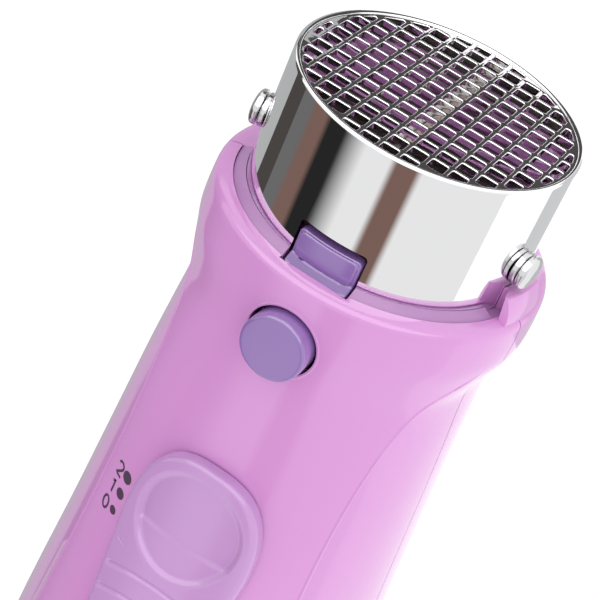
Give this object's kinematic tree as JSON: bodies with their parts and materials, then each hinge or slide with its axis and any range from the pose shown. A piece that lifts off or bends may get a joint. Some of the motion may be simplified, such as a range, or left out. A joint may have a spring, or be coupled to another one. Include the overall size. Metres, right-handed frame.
{
  "type": "hair dryer",
  "caption": "Hand-held hot-air styler base: chrome outlet barrel with grille, lock catch and release button, side studs, three-position slide switch.",
  "frame": {"origin": "under the middle of the part as it lies on its back, at the height of the surface it lies on", "axes": "outlet towards -Y, switch side up (+Z), +X to the right seen from the outlet end looking along +Y"},
  "size_m": [0.0568, 0.208, 0.0592],
  "materials": {
    "pink_shell": "glossy orchid pink",
    "purple": "satin purple",
    "lavender": "glossy lavender pink",
    "switch_pink": "satin pink",
    "chrome": "polished",
    "steel": "plain",
    "mica": "translucent mica",
    "nylon": "natural",
    "black": "black",
    "copper": "copper",
    "nichrome": "resistance wire",
    "board_green": "circuit board",
    "wire_blue": "insulated",
    "wire_brown": "insulated",
    "rubber_dark": "soft",
    "filter_grey": "mesh"
  },
  "bodies": {
    "casing": {"barrel": "chrome", "barrel_seat_ring": "lavender", "capacitor": "nylon", "circuit_board": "board_green", "dust_filter": "filter_grey", "fan_duct": "nylon", "front_shell": "pink_shell", "gland_retainer": "nylon", "heat_shield_sleeve": "mica", "heater_coil_front": "nichrome", "heater_coil_rear": "nichrome", "heater_end_disc": "mica", "lever_pivot_pin": "steel", "lever_spring": "steel", "mains_wire_a": "wire_blue", "mains_wire_b": "wire_brown", "mica_board_tall": "mica", "mica_board_wide": "mica", "motor_bearing_front": "copper", "motor_bearing_rear": "copper", "motor_can": "steel", "motor_end_cap": "black", "outlet_grille": "chrome", "outlet_liner": "pink_shell", "rear_shell": "pink_shell", "rectifier": "black", "shell_screw_a": "steel", "shell_screw_b": "steel", "shell_screw_c": "steel", "shell_screw_d": "steel", "stud_left": "chrome", "stud_right": "chrome", "stud_washer_left": "chrome", "stud_washer_right": "chrome", "switch_block": "black", "switch_wire_a": "wire_blue", "switch_wire_b": "wire_brown", "tail_cap": "pink_shell", "thermal_fuse": "steel", "thermostat": "nylon"},
    "release_lever": {"lock_lever": "purple", "release_button": "purple"},
    "rotor": {"motor_shaft": "steel", "motor_armature": "copper", "commutator": "copper", "fan_wheel": "black"},
    "slide_switch": {"switch_knob": "switch_pink", "switch_carrier": "black"},
    "gland": {"cord_gland": "rubber_dark"}
  },
  "joints": [
    {"name": "release_press", "type": "hinge", "parent": "casing", "child": "release_lever", "pos_m": [0, -0.058, 0.0446], "axis": [1, 0, 0], "range_deg": [0, 3.5], "stiffness_Nm_per_rad": 0.6, "springref_deg": -3.44, "deforming": ["lever_spring"]},
    {"name": "switch_slide", "type": "slide", "parent": "casing", "child": "slide_switch", "axis": [0, -0.9932, -0.1162], "range_m": [0, 0.0062]},
    {"name": "rotor_spin", "type": "hinge", "parent": "casing", "child": "rotor", "pos_m": [0, -0.004, 0.025], "axis": [0, 1, 0], "continuous": true},
    {"name": "gland_swivel", "type": "hinge", "parent": "casing", "child": "gland", "pos_m": [0, 0.096, 0.029], "axis": [0, 1, 0], "continuous": true}
  ]
}
